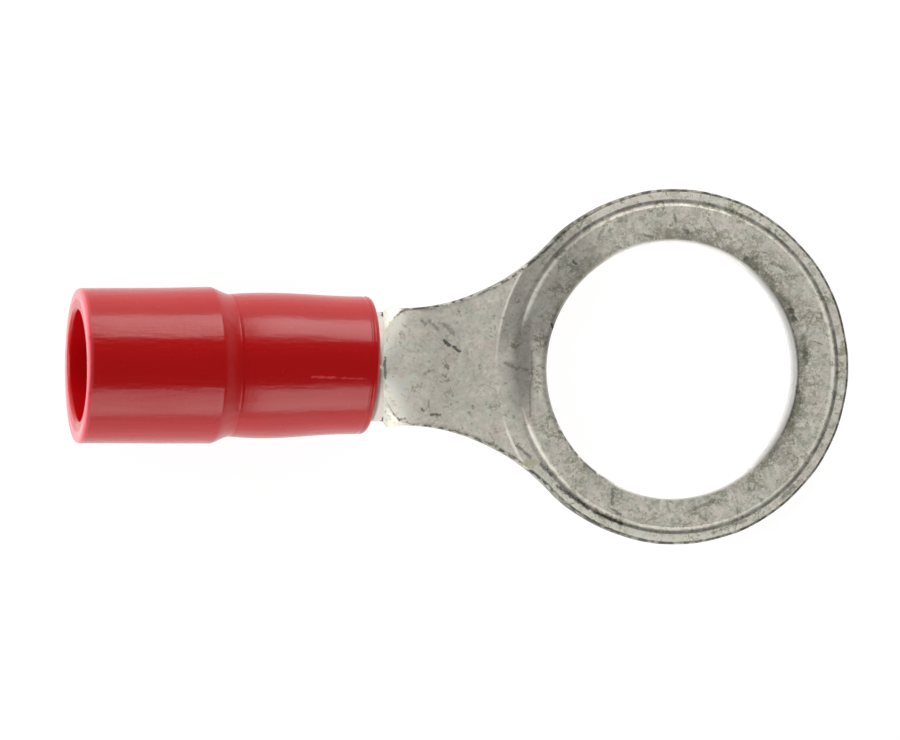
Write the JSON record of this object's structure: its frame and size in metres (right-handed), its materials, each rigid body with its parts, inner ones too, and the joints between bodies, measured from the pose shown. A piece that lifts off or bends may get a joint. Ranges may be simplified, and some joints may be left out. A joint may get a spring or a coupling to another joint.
{
  "type": "ring terminal",
  "caption": "Insulated crimp ring terminal: flat stamped ring tongue for a stud, short neck, rolled wire barrel and a stepped red sleeve with a wide wire entry.",
  "frame": {"origin": "centre of the stud hole, on the underside of the ring tongue", "axes": "+X along the part from the wire end to the ring's tip, +Z out of the tongue's upper face, the side on which the barrel stands up and its seam closes"},
  "size_m": [0.0261, 0.0116, 0.0052],
  "materials": {
    "tinned_copper": "satin",
    "red_vinyl": "gloss"
  },
  "bodies": {
    "root": {"terminal_body": "tinned_copper", "insulating_sleeve": "red_vinyl"}
  },
  "joints": []
}
